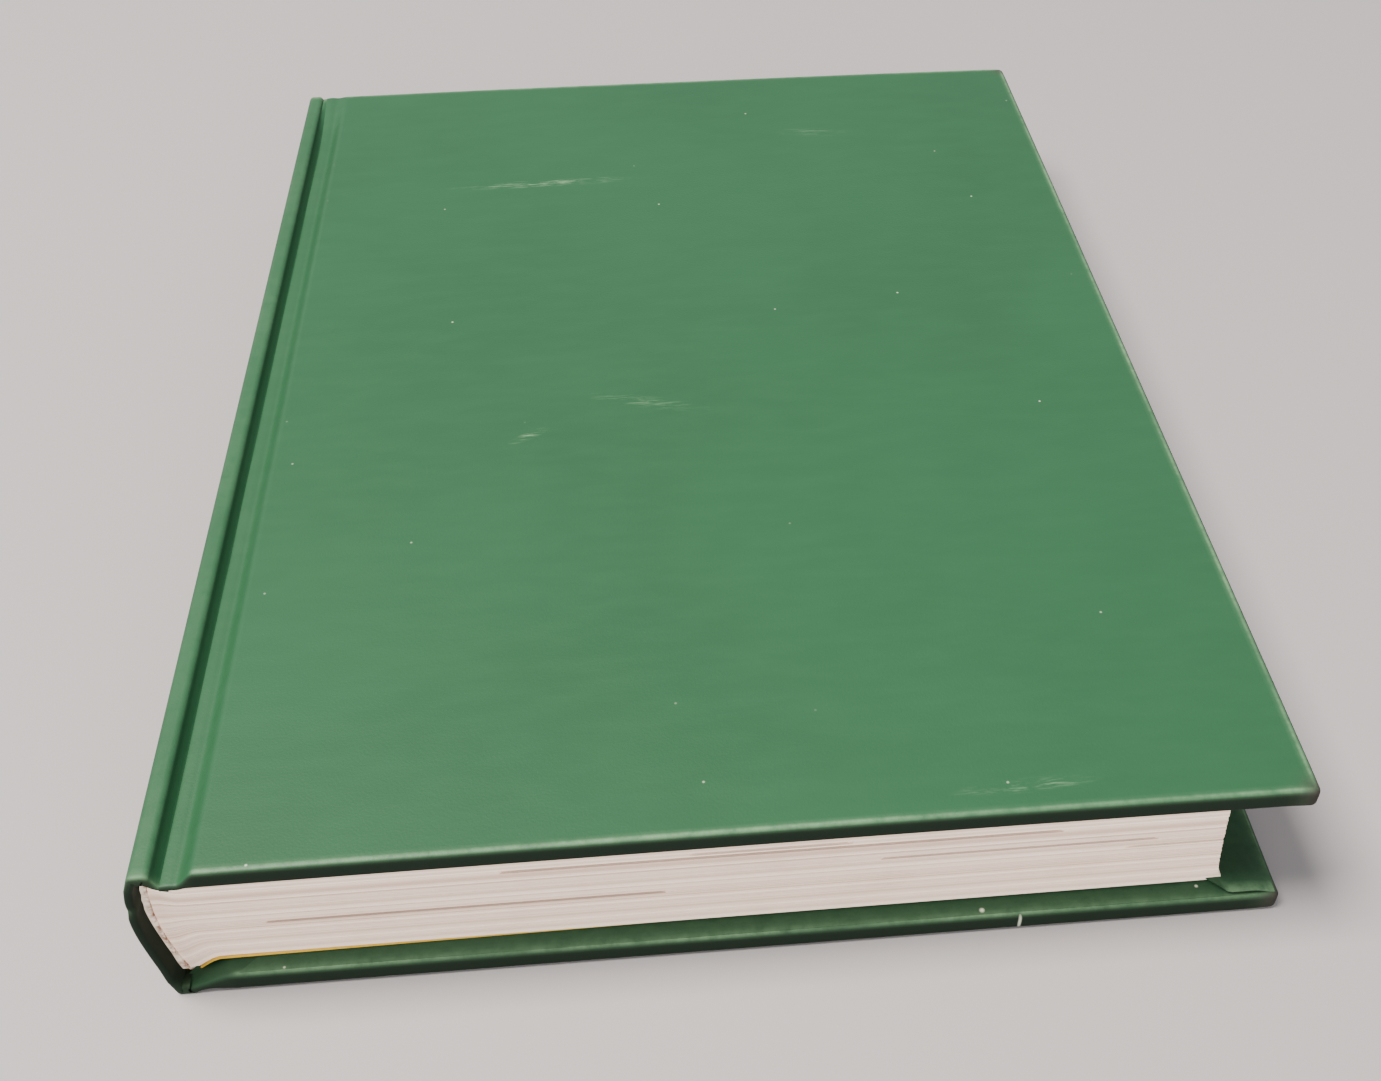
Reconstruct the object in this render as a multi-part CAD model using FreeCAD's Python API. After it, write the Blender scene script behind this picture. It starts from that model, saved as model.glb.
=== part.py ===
import FreeCAD, Part
import math
import os

# A pilot logbook: a sewn, hardback record book with a rounded spine, two cloth-covered boards
# and French grooves, lying on its back cover. Millimetres, +Z up.
# The origin is under the middle of the closed book, on the surface that it lies on.
# +X points from the spine to the fore edge, +Y from the tail to the head.

# Driving dimensions of the case
COVER_WIDTH = 206.0
COVER_HEIGHT = 270.0
BOOK_THICKNESS = 36.5
BOARD_THICKNESS = 3.6
CLOTH_THICKNESS = 0.4
TURN_IN_WIDTH = 14.0
SHOULDER_WIDTH = 5.0
GROOVE_WIDTH = 6.0
GROOVE_DEPTH = 3.0
HINGE_DROP = 1.5
SPINE_BULGE = 2.6
INLAY_THICKNESS = 0.5
SPINE_TURN_IN = 12.0
SHOULDER_RADIUS = 0.8
COVER_EDGE_RADIUS = 1.1
COVER_CORNER_RADIUS = 2.4

# Driving dimensions of the text block
SQUARE_HEAD_TAIL = 4.5
SQUARE_FORE_LOW = 9.0
SQUARE_FORE_HIGH = 12.2
SECTION_COUNT = 13
FLYLEAF_THICKNESS = 0.2
LEAF_THICKNESS = 0.12
LOG_LEAF_COUNT = 4
FORE_LEAN_POWER = 0.45
FAN_LENGTH = 4.0
FAN_STEPS = 6

# Driving dimensions of the sewing and the spine linings
TAPE_COUNT = 4
TAPE_WIDTH = 12.0
TAPE_THICKNESS = 0.3
THREAD_DIAMETER = 0.5
THREAD_DEPTH = 1.0
THREAD_END_MARGIN = 15.0
MULL_THICKNESS = 0.2
MULL_FLANGE_WIDTH = 30.0
LINING_THICKNESS = 0.15
MULL_END_MARGIN = 12.0

# Clearances between pieces
HINGE_GAP = 0.3
LEAF_GAP = 0.06
COVER_GAP = 0.1
LINING_GAP = 0.1
THREAD_GAP = 0.05
INLAY_END_GAP = 0.8
LINING_END_GAP = 0.5
FAN_GAP = 0.2

# Places worked out from the dimensions. X0 is the plane of the spine's two long corners.
X0 = -(COVER_WIDTH - SPINE_BULGE) / 2
COVER_THICKNESS = BOARD_THICKNESS + 2 * CLOTH_THICKNESS
MID_Z = BOOK_THICKNESS / 2
COVER_X_MIN = X0 + SHOULDER_WIDTH + GROOVE_WIDTH
COVER_X_MAX = X0 + COVER_WIDTH
INNER_TOP = BOOK_THICKNESS - COVER_THICKNESS
GROOVE_Z = BOOK_THICKNESS - GROOVE_DEPTH
SPINE_RADIUS = (MID_Z ** 2 + SPINE_BULGE ** 2) / (2 * SPINE_BULGE)
SPINE_CENTRE_X = X0 - SPINE_BULGE + SPINE_RADIUS


def spine_x(z):
    """X of the outside of the spine at height z."""
    return SPINE_CENTRE_X - math.sqrt(SPINE_RADIUS ** 2 - (z - MID_Z) ** 2)


# The hinge line lies HINGE_DROP inside the top of the shoulder, so that the joint's cloth rolls
# over the shoulder. It is placed so that the cover, swung through 180 degrees, stands
# HINGE_GAP clear of the bulging spine.
FRONT_HINGE_Z = BOOK_THICKNESS - HINGE_DROP
SWUNG_COVER_LOW_Z = 2 * FRONT_HINGE_Z - BOOK_THICKNESS
HINGE_X = (COVER_X_MIN + spine_x(SWUNG_COVER_LOW_Z) - HINGE_GAP) / 2

# Layers between the outside of the spine and the backs of the sections
BACK_LAYERS = [CLOTH_THICKNESS, INLAY_THICKNESS, CLOTH_THICKNESS, LINING_GAP]
LINING_DEPTH = sum(BACK_LAYERS)
MULL_DEPTH = LINING_DEPTH + LINING_THICKNESS
TAPE_DEPTH = MULL_DEPTH + MULL_THICKNESS
SECTION_DEPTH = TAPE_DEPTH + TAPE_THICKNESS

# Heights of the text block, from the back cover's inner face upward
BACK_FLYLEAF_Z = COVER_THICKNESS + COVER_GAP
BLOCK_LOW_Z = BACK_FLYLEAF_Z + FLYLEAF_THICKNESS + COVER_GAP
FRONT_FLYLEAF_Z = INNER_TOP - COVER_GAP - FLYLEAF_THICKNESS
LEAF_PITCH = LEAF_THICKNESS + LEAF_GAP
TURNING_LEAF_COUNT = LOG_LEAF_COUNT + 1
BLOCK_HIGH_Z = FRONT_FLYLEAF_Z - TURNING_LEAF_COUNT * LEAF_PITCH - COVER_GAP
SECTION_THICKNESS = (BLOCK_HIGH_Z - BLOCK_LOW_Z) / SECTION_COUNT

# The backs of the sections fan out into the shoulders, under the cloth
SHOULDER_Z = BOOK_THICKNESS - CLOTH_THICKNESS - COVER_GAP
FAN_FLAT_X = X0 + SHOULDER_WIDTH + FAN_GAP
FAN_SCALE = (SHOULDER_Z - MID_Z) / (INNER_TOP - COVER_GAP - MID_Z)

# Turning leaves begin just past the reach of the hinge, and their bound strips end before it
LEAF_INNER_X = COVER_X_MIN + HINGE_GAP / 2
ROOT_OUTER_X = LEAF_INNER_X - HINGE_GAP

LEAF_Y_MAX = COVER_HEIGHT / 2 - SQUARE_HEAD_TAIL
LEAF_HEIGHT = 2 * LEAF_Y_MAX


def fore_edge_x(z):
    """X of the text block's fore edge at height z. The lower leaves stand out further."""
    share = (z - BLOCK_LOW_Z) / (FRONT_FLYLEAF_Z - BLOCK_LOW_Z)
    share = min(max(share, 0.0), 1.0)
    square = SQUARE_FORE_LOW + (SQUARE_FORE_HIGH - SQUARE_FORE_LOW) * share ** FORE_LEAN_POWER
    return COVER_X_MAX - square


def fan_z(x, z):
    """Height at x of a sheet that lies flat at height z and fans out into the shoulder."""
    run = min(max((FAN_FLAT_X - x) / FAN_LENGTH, 0.0), 1.0)
    rise = run * run * (3.0 - 2.0 * run)
    return MID_Z + (z - MID_Z) * (1.0 + (FAN_SCALE - 1.0) * rise)


def back_x(z):
    """X of the backs of the folded sections at height z."""
    radius = SPINE_RADIUS - SECTION_DEPTH
    return SPINE_CENTRE_X - math.sqrt(radius ** 2 - (z - MID_Z) ** 2)


def box(x, y, z):
    """A box from pairs of low and high coordinates."""
    corner = FreeCAD.Vector(x[0], y[0], z[0])
    return Part.makeBox(x[1] - x[0], y[1] - y[0], z[1] - z[0], corner)


def both_ways(half):
    """A span of twice half, centred on zero."""
    return (-half, half)


def spine_drum(depth):
    """A drum whose left side lies depth inside the outside of the spine."""
    base = FreeCAD.Vector(SPINE_CENTRE_X, -COVER_HEIGHT, MID_Z)
    return Part.makeCylinder(SPINE_RADIUS - depth, 2 * COVER_HEIGHT, base, FreeCAD.Vector(0, 1, 0))


def spine_band(depth, thickness, y, half_height):
    """A curved sheet parallel to the spine, from depth to depth + thickness inside it."""
    x = (X0 - 2 * SPINE_BULGE, X0 + SHOULDER_WIDTH)
    z = (MID_Z - half_height, MID_Z + half_height)
    sheet = box(x, y, z).common(spine_drum(depth))
    return sheet.cut(spine_drum(depth + thickness))


def fan_edge(z):
    """The edge along a sheet at flat height z, from the flat to the far side of the spine."""
    points = [FreeCAD.Vector(X0 - 2 * SPINE_BULGE, 0, fan_z(X0 - 2 * SPINE_BULGE, z))]
    for step in range(FAN_STEPS + 1):
        x = FAN_FLAT_X - FAN_LENGTH * (FAN_STEPS - step) / FAN_STEPS
        points.append(FreeCAD.Vector(x, 0, fan_z(x, z)))
    curve = Part.BSplineCurve()
    curve.interpolate(points[1:])
    return points, curve


def bound_sheet(z_low, z_high, x_outer):
    """A sheet or section, from the back of the block to x_outer, that fans into the shoulder."""
    edges = []
    low_points, low_curve = fan_edge(z_low)
    high_points, high_curve = fan_edge(z_high)
    low_end = FreeCAD.Vector(x_outer, 0, z_low)
    high_end = FreeCAD.Vector(x_outer, 0, z_high)
    edges.append(Part.makeLine(low_points[0], low_points[1]))
    edges.append(low_curve.toShape())
    edges.append(Part.makeLine(low_points[-1], low_end))
    edges.append(Part.makeLine(low_end, high_end))
    edges.append(Part.makeLine(high_end, high_points[-1]))
    edges.append(high_curve.toShape())
    edges.append(Part.makeLine(high_points[1], high_points[0]))
    edges.append(Part.makeLine(high_points[0], low_points[0]))
    wire = Part.Wire(Part.__sortEdges__(edges))
    solid = Part.Face(wire).extrude(FreeCAD.Vector(0, LEAF_HEIGHT, 0))
    solid.translate(FreeCAD.Vector(0, -LEAF_Y_MAX, 0))
    return solid.cut(BACK_WASTE)


def mirrored(shape):
    """The same piece on the back cover, upside down."""
    return shape.mirror(FreeCAD.Vector(0, 0, MID_Z), FreeCAD.Vector(0, 0, 1))


def write(name, solids):
    """Write one piece, or a group of identical pieces, as a node."""
    shape = solids[0] if len(solids) == 1 else Part.makeCompound(solids)
    shape.exportStep("parts/" + name + ".step")
    print(name, len(shape.Solids), "solid(s)", round(shape.Volume), "mm3", shape.isValid())


# Everything left of the backs of the sections, cut away from each of them
BACK_WASTE = box(
    (X0 - 4 * SPINE_BULGE, X0 + SHOULDER_WIDTH), both_ways(COVER_HEIGHT), (-MID_Z, 3 * MID_Z)
).cut(spine_drum(SECTION_DEPTH))


def rounded_block(x, y, z, edge_radius, corner_radius):
    """A flat block with rounded corners at its fore side and rounded edges on its outer face."""
    block = box(x, y, z)
    corners = []
    for edge in block.Edges:
        upright = abs(edge.Vertexes[0].Z - edge.Vertexes[1].Z) > 0.5 * (z[1] - z[0])
        if upright and edge.Vertexes[0].X > x[1] - 0.01:
            corners.append(edge)
    block = block.makeFillet(corner_radius, corners)
    rims = []
    for edge in block.Edges:
        if abs(edge.BoundBox.ZMin - edge.BoundBox.ZMax) < 0.01:
            rims.append(edge)
    return block.makeFillet(edge_radius, rims)


def make_board():
    """Stiff board inside the front cover."""
    x = (COVER_X_MIN + CLOTH_THICKNESS, COVER_X_MAX - CLOTH_THICKNESS)
    y = both_ways(COVER_HEIGHT / 2 - CLOTH_THICKNESS)
    z = (INNER_TOP + CLOTH_THICKNESS, BOOK_THICKNESS - CLOTH_THICKNESS)
    edge_radius = COVER_EDGE_RADIUS - CLOTH_THICKNESS
    return rounded_block(x, y, z, edge_radius, COVER_CORNER_RADIUS - CLOTH_THICKNESS)


def window_box():
    """The room inside the turn-ins, which the pastedown fills."""
    x = (COVER_X_MIN + CLOTH_THICKNESS, COVER_X_MAX - TURN_IN_WIDTH)
    y = both_ways(COVER_HEIGHT / 2 - TURN_IN_WIDTH)
    return box(x, y, (INNER_TOP, INNER_TOP + CLOTH_THICKNESS))


def make_cover_cloth(board):
    """Cloth wrapped round the front board, with its turn-ins on the inner face."""
    x = (COVER_X_MIN, COVER_X_MAX)
    y = both_ways(COVER_HEIGHT / 2)
    z = (INNER_TOP, BOOK_THICKNESS)
    wrap = rounded_block(x, y, z, COVER_EDGE_RADIUS, COVER_CORNER_RADIUS)
    return wrap.cut(board).cut(window_box())


def make_mull_flange():
    """Side flap of the mull, glued to the board under the pastedown."""
    x_low = COVER_X_MIN + CLOTH_THICKNESS
    y = both_ways(min(LEAF_Y_MAX - MULL_END_MARGIN, COVER_HEIGHT / 2 - TURN_IN_WIDTH))
    z_high = INNER_TOP + CLOTH_THICKNESS
    return box((x_low, x_low + MULL_FLANGE_WIDTH), y, (z_high - MULL_THICKNESS, z_high))


def make_spine_cloth():
    """Cloth round the spine and both shoulders, folded in over the inlay at head and tail."""
    x_shoulder = X0 + SHOULDER_WIDTH
    y = both_ways(COVER_HEIGHT / 2)
    inner_z = BOOK_THICKNESS - CLOTH_THICKNESS
    leg_z = GROOVE_Z - CLOTH_THICKNESS
    left = X0 - 2 * SPINE_BULGE
    block = box((left, x_shoulder), y, (0, BOOK_THICKNESS)).common(spine_drum(0))
    long_edges = []
    for edge in block.Edges:
        centre = edge.BoundBox.Center
        at_face = min(abs(centre.z), abs(centre.z - BOOK_THICKNESS)) < 0.01
        if at_face and edge.BoundBox.YLength > 0.9 * COVER_HEIGHT:
            long_edges.append(edge)
    block = block.makeFillet(SHOULDER_RADIUS, long_edges)
    core = box((left, x_shoulder - CLOTH_THICKNESS), y, (CLOTH_THICKNESS, inner_z))
    core = core.common(spine_drum(CLOTH_THICKNESS))
    opening_z = (BOOK_THICKNESS - leg_z, leg_z)
    opening = box((x_shoulder - 2 * CLOTH_THICKNESS, x_shoulder + 1), y, opening_z)
    cloth = block.cut(core).cut(opening)
    half = MID_Z - INLAY_END_GAP
    for side in (-1, 1):
        end = side * COVER_HEIGHT / 2
        fold_start = sorted((end - side * CLOTH_THICKNESS, end))
        flap_start = sorted((end - side * SPINE_TURN_IN, end))
        cloth = cloth.fuse(spine_band(CLOTH_THICKNESS, INLAY_THICKNESS, fold_start, half))
        flap_depth = CLOTH_THICKNESS + INLAY_THICKNESS
        cloth = cloth.fuse(spine_band(flap_depth, CLOTH_THICKNESS, flap_start, half))
    return cloth.removeSplitter()


def make_joint_cloth():
    """The strip of cloth along the bottom of the front groove."""
    x = (X0 + SHOULDER_WIDTH, COVER_X_MIN - HINGE_GAP)
    z = (GROOVE_Z - CLOTH_THICKNESS, GROOVE_Z)
    return box(x, both_ways(COVER_HEIGHT / 2), z)


def make_leaf(z_low, thickness):
    """The part of a leaf that turns."""
    x = (LEAF_INNER_X, fore_edge_x(z_low))
    return box(x, both_ways(LEAF_Y_MAX), (z_low, z_low + thickness))


def make_tapes():
    """Linen tapes across the backs of the sections, which the thread is sewn over."""
    tapes = []
    half = SHOULDER_Z - MID_Z - LINING_END_GAP
    for index in range(TAPE_COUNT):
        middle = -LEAF_Y_MAX + LEAF_HEIGHT * (index + 0.5) / TAPE_COUNT
        y = (middle - TAPE_WIDTH / 2, middle + TAPE_WIDTH / 2)
        tapes.append(spine_band(TAPE_DEPTH, TAPE_THICKNESS, y, half))
    return tapes


def make_sections():
    """The folded sections, bottom first, and the thread that runs inside each fold."""
    sections = []
    threads = []
    run_length = LEAF_HEIGHT - 2 * THREAD_END_MARGIN
    for index in range(SECTION_COUNT):
        z_low = BLOCK_LOW_Z + index * SECTION_THICKNESS
        z_high = z_low + SECTION_THICKNESS
        z_mid = (z_low + z_high) / 2
        section = bound_sheet(z_low, z_high, fore_edge_x(z_mid))
        x_thread = back_x(fan_z(X0, z_mid)) + THREAD_DEPTH
        start = FreeCAD.Vector(x_thread, -run_length / 2, fan_z(x_thread, z_mid))
        along = FreeCAD.Vector(0, 1, 0)
        hole_radius = THREAD_DIAMETER / 2 + THREAD_GAP
        section = section.cut(Part.makeCylinder(hole_radius, run_length, start, along))
        sections.append(section)
        threads.append(Part.makeCylinder(THREAD_DIAMETER / 2, run_length, start, along))
    return sections, threads


os.makedirs("parts", exist_ok=True)

# The two covers are the same, turned over
board = make_board()
flange = make_mull_flange()
cover_pieces = {
    "board": board,
    "cover_cloth": make_cover_cloth(board),
    "mull_flange": flange,
    "pastedown": window_box().cut(flange),
    "joint_cloth": make_joint_cloth(),
}
for name, shape in cover_pieces.items():
    write("front_" + name, [shape])
    write("back_" + name, [mirrored(shape)])

# The spine of the case
inlay_y = both_ways(COVER_HEIGHT / 2 - CLOTH_THICKNESS)
inlay = spine_band(CLOTH_THICKNESS, INLAY_THICKNESS, inlay_y, MID_Z - INLAY_END_GAP)
write("spine_cloth", [make_spine_cloth()])
write("spine_inlay", [inlay])

# The linings on the back of the text block
lining_half = SHOULDER_Z - MID_Z - LINING_END_GAP
lining_y = both_ways(LEAF_Y_MAX)
mull_y = both_ways(LEAF_Y_MAX - MULL_END_MARGIN)
write("lining_paper", [spine_band(LINING_DEPTH, LINING_THICKNESS, lining_y, lining_half)])
write("mull", [spine_band(MULL_DEPTH, MULL_THICKNESS, mull_y, lining_half)])
write("sewing_tapes", make_tapes())

# The sewn sections
sections, threads = make_sections()
for index, section in enumerate(sections):
    write("section_%02d" % (index + 1), [section])
write("sewing_thread", threads)

# The endpapers' free halves and the leaves that turn, with their bound inner strips
fly_high = FRONT_FLYLEAF_Z + FLYLEAF_THICKNESS
write("front_flyleaf", [make_leaf(FRONT_FLYLEAF_Z, FLYLEAF_THICKNESS)])
write("front_flyleaf_root", [bound_sheet(FRONT_FLYLEAF_Z, fly_high, ROOT_OUTER_X)])
back_fly_high = BACK_FLYLEAF_Z + FLYLEAF_THICKNESS
write("back_flyleaf", [make_leaf(BACK_FLYLEAF_Z, FLYLEAF_THICKNESS)])
write("back_flyleaf_root", [bound_sheet(BACK_FLYLEAF_Z, back_fly_high, ROOT_OUTER_X)])
leaf_names = ["title_leaf"] + ["log_leaf_%d" % (n + 1) for n in range(LOG_LEAF_COUNT)]
roots = []
for index, name in enumerate(leaf_names):
    z_low = FRONT_FLYLEAF_Z - (index + 1) * LEAF_PITCH
    write(name, [make_leaf(z_low, LEAF_THICKNESS)])
    roots.append(bound_sheet(z_low, z_low + LEAF_THICKNESS, ROOT_OUTER_X))
write("leaf_roots", roots)

print("hinge lines at X", round(HINGE_X, 4), "and Z", FRONT_HINGE_Z, "and", HINGE_DROP)
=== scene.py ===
# %% [markdown]
# # A pilot logbook
# The book is a hardback record book: sewn sections of ledger paper between two boards, and one
# green cloth that wraps both boards and the spine. The frame gives every size and hinge line.
# This lesson clothes that frame: cloth, endpapers, leaves and linings, each as its own mesh.

# %% Load the frame
import math
import bpy
import numpy as np
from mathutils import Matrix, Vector


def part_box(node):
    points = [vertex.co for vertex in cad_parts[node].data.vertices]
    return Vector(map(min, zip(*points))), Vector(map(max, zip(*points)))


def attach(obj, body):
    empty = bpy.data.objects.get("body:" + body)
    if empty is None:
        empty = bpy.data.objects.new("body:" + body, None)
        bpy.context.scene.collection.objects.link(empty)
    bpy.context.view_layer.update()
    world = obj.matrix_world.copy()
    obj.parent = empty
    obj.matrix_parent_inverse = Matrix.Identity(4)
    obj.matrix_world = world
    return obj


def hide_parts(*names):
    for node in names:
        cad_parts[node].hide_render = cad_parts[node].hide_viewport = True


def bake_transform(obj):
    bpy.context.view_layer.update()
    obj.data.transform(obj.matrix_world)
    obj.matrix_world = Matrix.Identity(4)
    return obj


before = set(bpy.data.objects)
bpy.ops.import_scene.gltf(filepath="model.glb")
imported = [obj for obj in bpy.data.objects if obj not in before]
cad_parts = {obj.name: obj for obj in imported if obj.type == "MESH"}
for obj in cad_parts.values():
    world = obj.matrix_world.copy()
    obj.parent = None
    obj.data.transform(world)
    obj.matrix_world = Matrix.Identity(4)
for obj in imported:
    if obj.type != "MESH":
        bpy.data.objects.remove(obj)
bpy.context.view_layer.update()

# %% [markdown]
# ## Sizes
# Everything is placed from the boxes of the frame's own nodes, in metres. MM turns a real size
# in millimetres into metres. The book lies on its back cover, so every piece of the back
# cover is a piece of the front cover turned over about the height MID_Z.

# %% Read the sizes
MM = 0.001
cover_low, cover_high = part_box("front_cover_cloth")
spine_low, spine_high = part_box("spine_cloth")
leaf_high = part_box("front_flyleaf")[1]
BOARD_X, FORE_X = cover_low[0], cover_high[0]
HALF_Y = cover_high[1]
TOP_Z, INNER_Z = cover_high[2], cover_low[2]
MID_Z = TOP_Z / 2
SPINE_X = spine_low[0]
SHOULDER_X = spine_high[0]
BULGE = 2.6 * MM
CORNER_X = SPINE_X + BULGE
WIDTH = FORE_X - CORNER_X
LEAF_HALF_Y = leaf_high[1]
print("cover", round(WIDTH / MM), "mm wide,", round(2 * HALF_Y / MM), "mm tall")

# %% [markdown]
# ## Mesh helpers
# Most of a book is sheets, so one helper builds a closed sheet from a grid of upper points and
# a grid of lower points. It also stores each point's place at rest, because the cloth bends
# with the cover, and a pattern read from the stored place bends with it.

# %% Build a closed sheet from two grids
def store(mesh, name, kind, values, field):
    """Keep one value per point on the mesh, for a material to read."""
    attribute = mesh.attributes.new(name, kind, "POINT")
    attribute.data.foreach_set(field, np.asarray(values, np.float32).ravel())


def new_object(name, data):
    """An object, put in the scene."""
    made = bpy.data.objects.new(name, data)
    bpy.context.scene.collection.objects.link(made)
    return made


def add_piece(name, points, faces, material):
    """A smooth-shaded mesh object with its rest places stored."""
    mesh = bpy.data.meshes.new(name)
    mesh.from_pydata([tuple(p) for p in points], [], faces)
    mesh.validate()
    mesh.polygons.foreach_set("use_smooth", [True] * len(mesh.polygons))
    mesh.set_sharp_from_angle(angle=math.radians(50))
    mesh.materials.append(material)
    store(mesh, "rest_co", "FLOAT_VECTOR", [v.co for v in mesh.vertices], "vector")
    return new_object(name, mesh)


def closed_sheet(upper, lower, flip=False):
    """Points and faces of a sheet between two (columns, rows, 3) grids."""
    columns, rows = upper.shape[:2]
    points = np.concatenate([upper.reshape(-1, 3), lower.reshape(-1, 3)])
    shift = columns * rows

    def at(column, row):
        return column * rows + row

    faces = []
    for c in range(columns - 1):
        for r in range(rows - 1):
            ring = [at(c, r), at(c + 1, r), at(c + 1, r + 1), at(c, r + 1)]
            faces.append(ring)
            faces.append([shift + i for i in reversed(ring)])
    outline = [at(c, 0) for c in range(columns)]
    outline += [at(columns - 1, r) for r in range(1, rows)]
    outline += [at(c, rows - 1) for c in range(columns - 2, -1, -1)]
    outline += [at(0, r) for r in range(rows - 2, 0, -1)]
    for a, b in zip(outline, outline[1:] + outline[:1]):
        faces.append([b, a, shift + a, shift + b])
    if flip:
        faces = [list(reversed(f)) for f in faces]
    return points, faces


def smooth_step(value, low, high):
    """0 below low, 1 above high, and a smooth rise between them."""
    t = np.clip((np.asarray(value, float) - low) / (high - low), 0, 1)
    return t * t * (3 - 2 * t)


def close_to(distance, reach):
    """1 where distance is 0, falling smoothly to 0 over about twice reach."""
    return np.exp(-(distance / reach) ** 2)


def turned_over(points):
    """The same points on the back cover."""
    return points * np.array([1, 1, -1]) + np.array([0, 0, TOP_Z])

# %% [markdown]
# ## Material helpers
# Colours are given as sRGB hex values and turned to linear once. One function adds a node with
# its settings and links, so that each material reads as a short recipe.

# %% Nodes and colours
def linear(hex_colour):
    """An sRGB hex colour as linear red, green, blue and alpha."""
    parts = [int(hex_colour[i:i + 2], 16) / 255 for i in (0, 2, 4)]
    return [p / 12.92 if p <= 0.04045 else ((p + 0.055) / 1.055) ** 2.4 for p in parts] + [1]


def add_node(tree, kind, settings=None, **inputs):
    """Add a node. settings are its properties, inputs its sockets: a value, or a link."""
    node = tree.nodes.new(kind)
    for key, value in (settings or {}).items():
        setattr(node, key, value)
    for key, value in inputs.items():
        name = key.replace("_", " ")
        slot = int(key[1:]) if key[0] == "i" and key[1:].isdigit() else name
        socket = node.inputs[slot]
        if isinstance(value, bpy.types.NodeSocket):
            tree.links.new(value, socket)
        else:
            socket.default_value = value
    return node


def new_material(name, roughness, colour):
    """A principled material, its tree and its shader."""
    material = bpy.data.materials.new(name)
    material.use_nodes = True
    tree = material.node_tree
    shader = tree.nodes["Principled BSDF"]
    shader.inputs["Roughness"].default_value = roughness
    shader.inputs["Base Color"].default_value = linear(colour)
    return material, tree, shader


def rest_place(tree):
    """The stored rest place, as a vector in metres."""
    return add_node(tree, "ShaderNodeAttribute", {"attribute_name": "rest_co"}).outputs["Vector"]


def math_node(tree, operation, first, second=0.0):
    """One sum, as a socket."""
    node = add_node(tree, "ShaderNodeMath", {"operation": operation}, i0=first, i1=second)
    return node.outputs[0]


def noise(tree, vector, size, detail=3.0, rough=0.5):
    """Noise whose blotches are about size metres across."""
    node = add_node(tree, "ShaderNodeTexNoise", None, Vector=vector, Scale=1 / size,
                    Detail=detail, Roughness=rough)
    return node.outputs["Fac"]


def ramp(tree, value, low, high, to_low=0.0, to_high=1.0):
    """value taken from low..high to to_low..to_high, clamped."""
    node = add_node(tree, "ShaderNodeMapRange", None, Value=value)
    for key, number in (("From Min", low), ("From Max", high), ("To Min", to_low),
                        ("To Max", to_high)):
        node.inputs[key].default_value = number
    return node.outputs["Result"]


def mix(tree, share, first, second):
    """Two colours mixed by share."""
    node = add_node(tree, "ShaderNodeMix", {"data_type": "RGBA"})
    for slot, value in ((0, share), (6, first), (7, second)):
        if isinstance(value, bpy.types.NodeSocket):
            tree.links.new(value, node.inputs[slot])
        else:
            node.inputs[slot].default_value = value
    return node.outputs[2]


def stretched(tree, vector, scale):
    """The vector scaled differently along each axis, for streaks."""
    node = add_node(tree, "ShaderNodeVectorMath", {"operation": "MULTIPLY"}, i0=vector, i1=scale)
    return node.outputs[0]


def add_bump(tree, shader, height, depth, strength=1.0):
    """Bump of that depth in metres on the shader."""
    node = add_node(tree, "ShaderNodeBump", None, Height=height, Distance=depth,
                    Strength=strength)
    tree.links.new(node.outputs["Normal"], shader.inputs["Normal"])

# %% [markdown]
# ## Book cloth
# The cover is a coated and calendered cotton cloth: woven cotton filled with green pyroxylin
# and pressed smooth. It gives a soft, broad gloss with a very fine grain. Where the cloth folds
# over an edge the coating is rubbed pale, and the bumped corners are scraped dark. Three values
# on the mesh say where: rubbing, which also paints a highlight along the top of each rim,
# scraping, and painted shade on faces out of the light. Noise breaks the worn places up here.

# %% Coated green book cloth
CLOTH_GREEN, CLOTH_DEEP, CLOTH_FADED = "1D432B", "1C4029", "20472E"
# The pale rubbed green is used for real rubbing and scuffs, and for the painted highlight along
# the rims.
RUBBED_AND_LIT_GREEN, BARE_CORNER, DUST = "628363", "24211F", "A9B3A0"
# A near-black green painted on cloth that is out of the light: painted shade.
PAINTED_SHADE_GREEN = "07180C"
GRAIN = 0.45 * MM
SCUFFS = [
    {"x": 0.34, "y": 0.797, "z": TOP_Z, "long": 0.135, "wide": 0.010, "tilt": 0.02, "pale": 0.75},
    {"x": 0.32, "y": 0.405, "z": TOP_Z, "long": 0.026, "wide": 0.007, "tilt": 0.50, "pale": 0.6},
    {"x": 0.45, "y": 0.440, "z": TOP_Z, "long": 0.075, "wide": 0.012, "tilt": -0.25, "pale": 0.3},
    {"x": 0.75, "y": 0.022, "z": TOP_Z, "long": 0.070, "wide": 0.008, "tilt": 0.05, "pale": 0.5},
    {"x": 0.70, "y": 0.875, "z": TOP_Z, "long": 0.060, "wide": 0.014, "tilt": -0.10, "pale": 0.2},
]
NICKS = [
    {"x": 0.757, "y": 0.0, "z": 2.4 * MM, "long": 0.0020, "wide": 0.004, "tilt": 0.0},
    {"x": 0.723, "y": 0.007, "z": 4.4 * MM, "long": 0.0030, "wide": 0.003, "tilt": 0.0},
    {"x": 0.925, "y": 0.013, "z": 4.4 * MM, "long": 0.0020, "wide": 0.002, "tilt": 0.0},
]


def scuff_mask(tree, place, scuff):
    """1 in the middle of a scuff, falling to 0 at its outline."""
    centre = (CORNER_X + scuff["x"] * WIDTH, -HALF_Y + scuff["y"] * 2 * HALF_Y, scuff["z"])
    settings = {"vector_type": "TEXTURE"}
    shape = (scuff["long"] * WIDTH, scuff["wide"] * WIDTH, 3 * MM)
    spot = add_node(tree, "ShaderNodeMapping", settings, Vector=place, Location=centre,
                    Rotation=(0, 0, scuff["tilt"]), Scale=shape)
    away = add_node(tree, "ShaderNodeVectorMath", {"operation": "LENGTH"}, i0=spot.outputs[0])
    return ramp(tree, away.outputs["Value"], 0.2, 1.0, 1.0, 0.0)


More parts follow.
